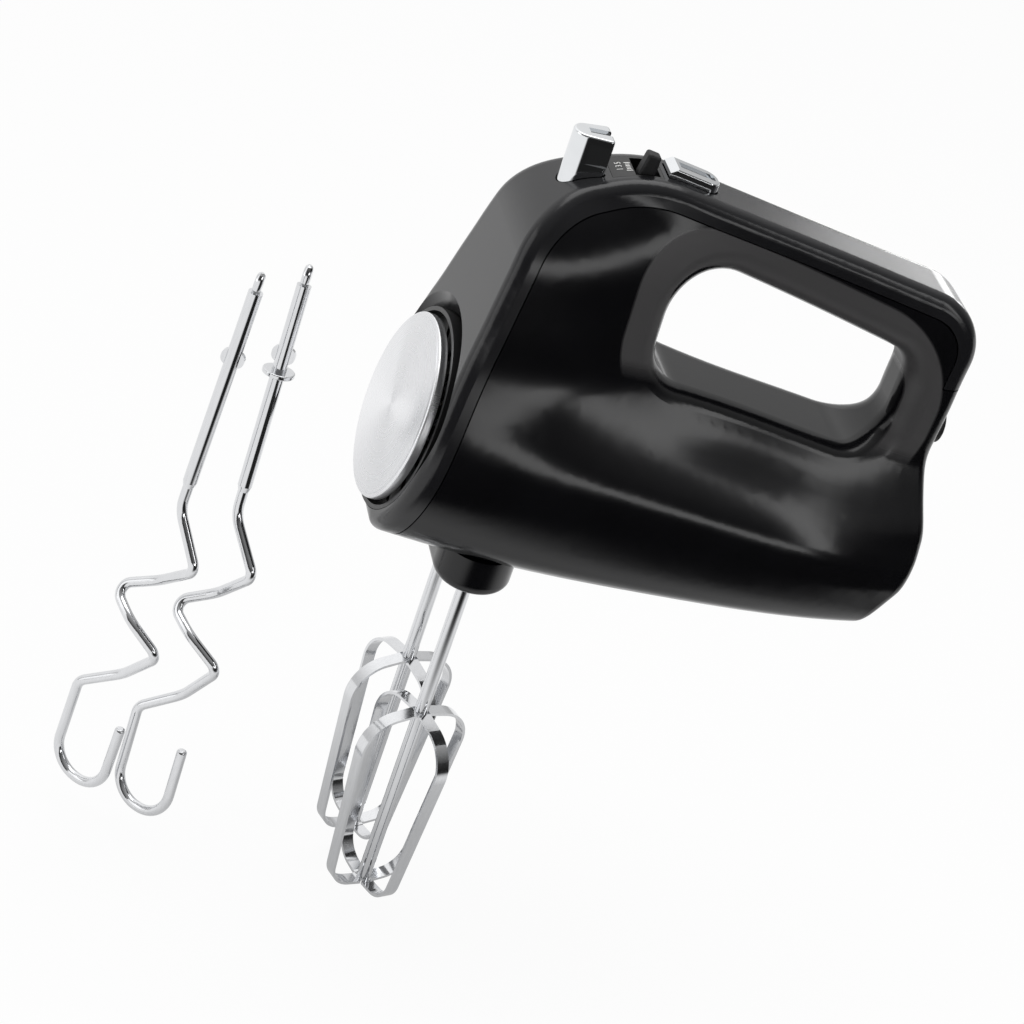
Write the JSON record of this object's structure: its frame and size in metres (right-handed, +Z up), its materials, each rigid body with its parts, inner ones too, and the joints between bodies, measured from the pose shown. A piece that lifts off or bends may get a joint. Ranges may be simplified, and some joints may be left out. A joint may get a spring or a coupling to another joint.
{
  "type": "hand mixer",
  "caption": "Black hand mixer with a looped handle, spun nose disc, strip beaters in geared sockets, eject and turbo buttons, speed slider, and loose dough hooks.",
  "frame": {"origin": "midway between the two beaters, level with their tips", "axes": "+Z up along the beater shafts, +X from the nose to the rear of the handle, +Y to the side with the screws"},
  "size_m": [0.2507, 0.0798, 0.2853],
  "materials": {
    "shell_black": "polished",
    "cover_black": "polished",
    "dish_black": "satin",
    "disc_aluminium": "spun, radial sheen",
    "panel_black": "satin with pale marks",
    "slider_black": "matte",
    "button_chrome": "polished",
    "tool_chrome": "polished",
    "inlet_rubber": "matte",
    "screw_steel": "plated",
    "gearbox_alloy": "cast",
    "bearing_bronze": "sintered",
    "core_steel": "stacked sheets",
    "winding_copper": "enamelled wire",
    "brush_carbon": "carbon",
    "holder_brass": "pressed",
    "inner_plastic": "moulded",
    "gear_nylon": "moulded",
    "shaft_steel": "ground",
    "spring_steel": "wire",
    "board_green": "lacquered"
  },
  "bodies": {
    "housing": {"left_shell": "shell_black", "right_shell": "shell_black", "top_cover": "cover_black", "nose_dish": "dish_black", "front_disc": "disc_aluminium", "control_panel": "panel_black", "cord_inlet": "inlet_rubber", "housing_screws": "screw_steel", "gearbox_cover_screws": "screw_steel", "motor_screws": "screw_steel", "gearbox_frame": "gearbox_alloy", "gearbox_cover": "gearbox_alloy", "rear_bracket": "gearbox_alloy", "front_bearing": "bearing_bronze", "middle_bearing": "bearing_bronze", "rear_bearing": "bearing_bronze", "left_spindle_bushes": "bearing_bronze", "right_spindle_bushes": "bearing_bronze", "stator_core": "core_steel", "field_coils": "winding_copper", "carbon_brushes": "brush_carbon", "brush_caps": "holder_brass", "brush_holders": "inner_plastic", "eject_guide": "inner_plastic", "speed_switch": "inner_plastic", "turbo_switch": "inner_plastic", "eject_spring": "spring_steel", "turbo_spring": "spring_steel", "brush_springs": "spring_steel", "control_board": "board_green"},
    "armature": {"armature_shaft": "shaft_steel", "armature_core": "core_steel", "armature_winding": "winding_copper", "commutator": "winding_copper", "cooling_fan": "gear_nylon"},
    "left_drive": {"left_gear": "gear_nylon", "left_spindle": "shaft_steel", "left_spindle_clip": "shaft_steel"},
    "right_drive": {"right_gear": "gear_nylon", "right_spindle": "shaft_steel", "right_spindle_clip": "shaft_steel"},
    "left_beater": {"left_beater_shaft": "tool_chrome", "left_beater_blades": "tool_chrome"},
    "right_beater": {"right_beater_shaft": "tool_chrome", "right_beater_blades": "tool_chrome"},
    "eject": {"eject_button": "button_chrome", "eject_yoke": "inner_plastic"},
    "slider": {"speed_slider": "slider_black"},
    "turbo": {"turbo_button": "button_chrome"},
    "left_hook": {"left_dough_hook": "tool_chrome"},
    "right_hook": {"right_dough_hook": "tool_chrome", "right_hook_collar": "tool_chrome"}
  },
  "joints": [
    {"name": "motor_spin", "type": "hinge", "parent": "housing", "child": "armature", "pos_m": [0, 0, 0.18], "axis": [1, 0, 0], "continuous": true},
    {"name": "left_spin", "type": "hinge", "parent": "housing", "child": "left_drive", "pos_m": [0, -0.015, 0.18], "axis": [0, 0, 1], "continuous": true},
    {"name": "right_spin", "type": "hinge", "parent": "housing", "child": "right_drive", "pos_m": [0, 0.015, 0.18], "axis": [0, 0, 1], "continuous": true},
    {"name": "eject_press", "type": "slide", "parent": "housing", "child": "eject", "axis": [0, 0, -1], "range_m": [0, 0.009], "stiffness_N_per_m": 400, "springref_m": -0.006, "deforming": ["eject_spring"]},
    {"name": "left_beater_drop", "type": "slide", "parent": "left_drive", "child": "left_beater", "axis": [0, 0, -1], "range_m": [0, 0.009]},
    {"name": "right_beater_drop", "type": "slide", "parent": "right_drive", "child": "right_beater", "axis": [0, 0, -1], "range_m": [0, 0.009]},
    {"name": "speed_slide", "type": "slide", "parent": "housing", "child": "slider", "axis": [0, 1, 0], "range_m": [0, 0.005]},
    {"name": "turbo_press", "type": "slide", "parent": "housing", "child": "turbo", "axis": [0, 0, -1], "range_m": [0, 0.002], "stiffness_N_per_m": 600, "springref_m": -0.003, "deforming": ["turbo_spring"]},
    {"name": "left_hook_lift", "type": "slide", "parent": "housing", "child": "left_hook", "axis": [0.0567, 0.0126, 0.9983], "range_m": [0, 0.06]},
    {"name": "right_hook_lift", "type": "slide", "parent": "housing", "child": "right_hook", "axis": [0.0369, 0.1348, 0.9902], "range_m": [0, 0.06]}
  ],
  "couplings": [
    {"joint": "left_spin", "follows": "motor_spin", "ratio": 0.071429},
    {"joint": "right_spin", "follows": "motor_spin", "ratio": -0.071429},
    {"joint": "left_beater_drop", "follows": "eject_press", "ratio": 1},
    {"joint": "right_beater_drop", "follows": "eject_press", "ratio": 1}
  ]
}
